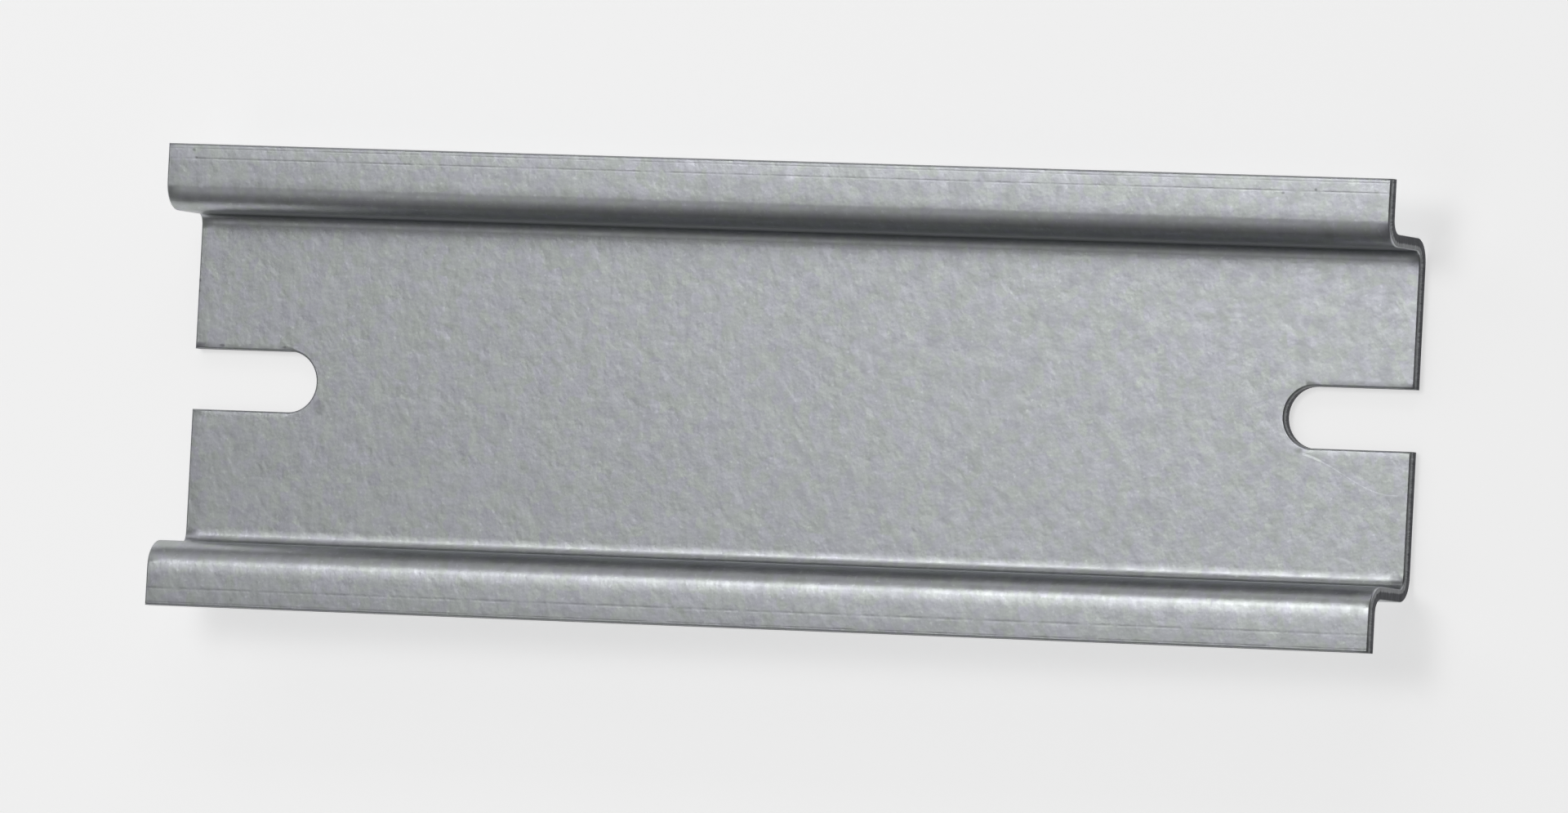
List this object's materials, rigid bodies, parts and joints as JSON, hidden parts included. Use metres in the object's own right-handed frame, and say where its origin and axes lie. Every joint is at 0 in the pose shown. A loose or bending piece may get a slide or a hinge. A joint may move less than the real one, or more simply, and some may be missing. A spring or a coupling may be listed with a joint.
{
  "type": "din rail",
  "caption": "Short piece of top-hat mounting rail, 35 mm wide and 7.5 mm high, bent from zinc-coated steel strip, with an open screw slot in each end.",
  "frame": {"origin": "middle of the web's back face, the face that lies against what the rail is screwed to", "axes": "+X along the rail, +Y across it towards one flange, +Z out of the open channel towards the flange faces"},
  "size_m": [0.1, 0.035, 0.0075],
  "materials": {
    "galvanised_steel": "zinc-coated steel strip, fine mottled grey with a soft sheen, bare and darker on the sheared ends and slot walls"
  },
  "bodies": {
    "root": {"rail": "galvanised_steel"}
  },
  "joints": []
}
